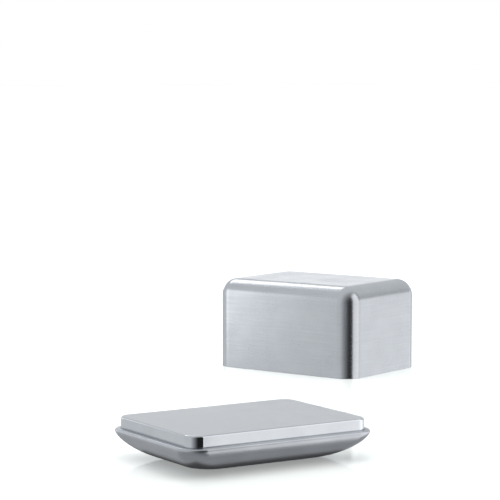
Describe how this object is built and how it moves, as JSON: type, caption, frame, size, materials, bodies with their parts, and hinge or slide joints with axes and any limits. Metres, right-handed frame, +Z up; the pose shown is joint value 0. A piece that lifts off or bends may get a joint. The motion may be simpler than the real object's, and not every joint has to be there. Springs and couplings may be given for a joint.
{
  "type": "butter dish",
  "caption": "Low boat-shaped steel butter dish with a raised polished platform, and its loose satin box-shaped lid standing beside it.",
  "frame": {"origin": "centre of the dish's flat foot, on the table", "axes": "+X along the dish's long side, +Y across it, +Z up; the lid stands on the table at +X +Y, turned"},
  "size_m": [0.3933, 0.4323, 0.071],
  "materials": {
    "satin_shell_steel": "bare stainless steel, fine satin",
    "polished_platform_steel": "bare stainless steel, mirror polished",
    "satin_lid_steel": "bare stainless steel, fine satin"
  },
  "bodies": {
    "dish": {"base_shell": "satin_shell_steel", "platform": "polished_platform_steel"},
    "lid": {"lid": "satin_lid_steel"}
  },
  "joints": [
    {"name": "lid_lift", "type": "slide", "parent": "dish", "child": "lid", "axis": [0, 0, 1], "range_m": [0, 0.1]}
  ]
}
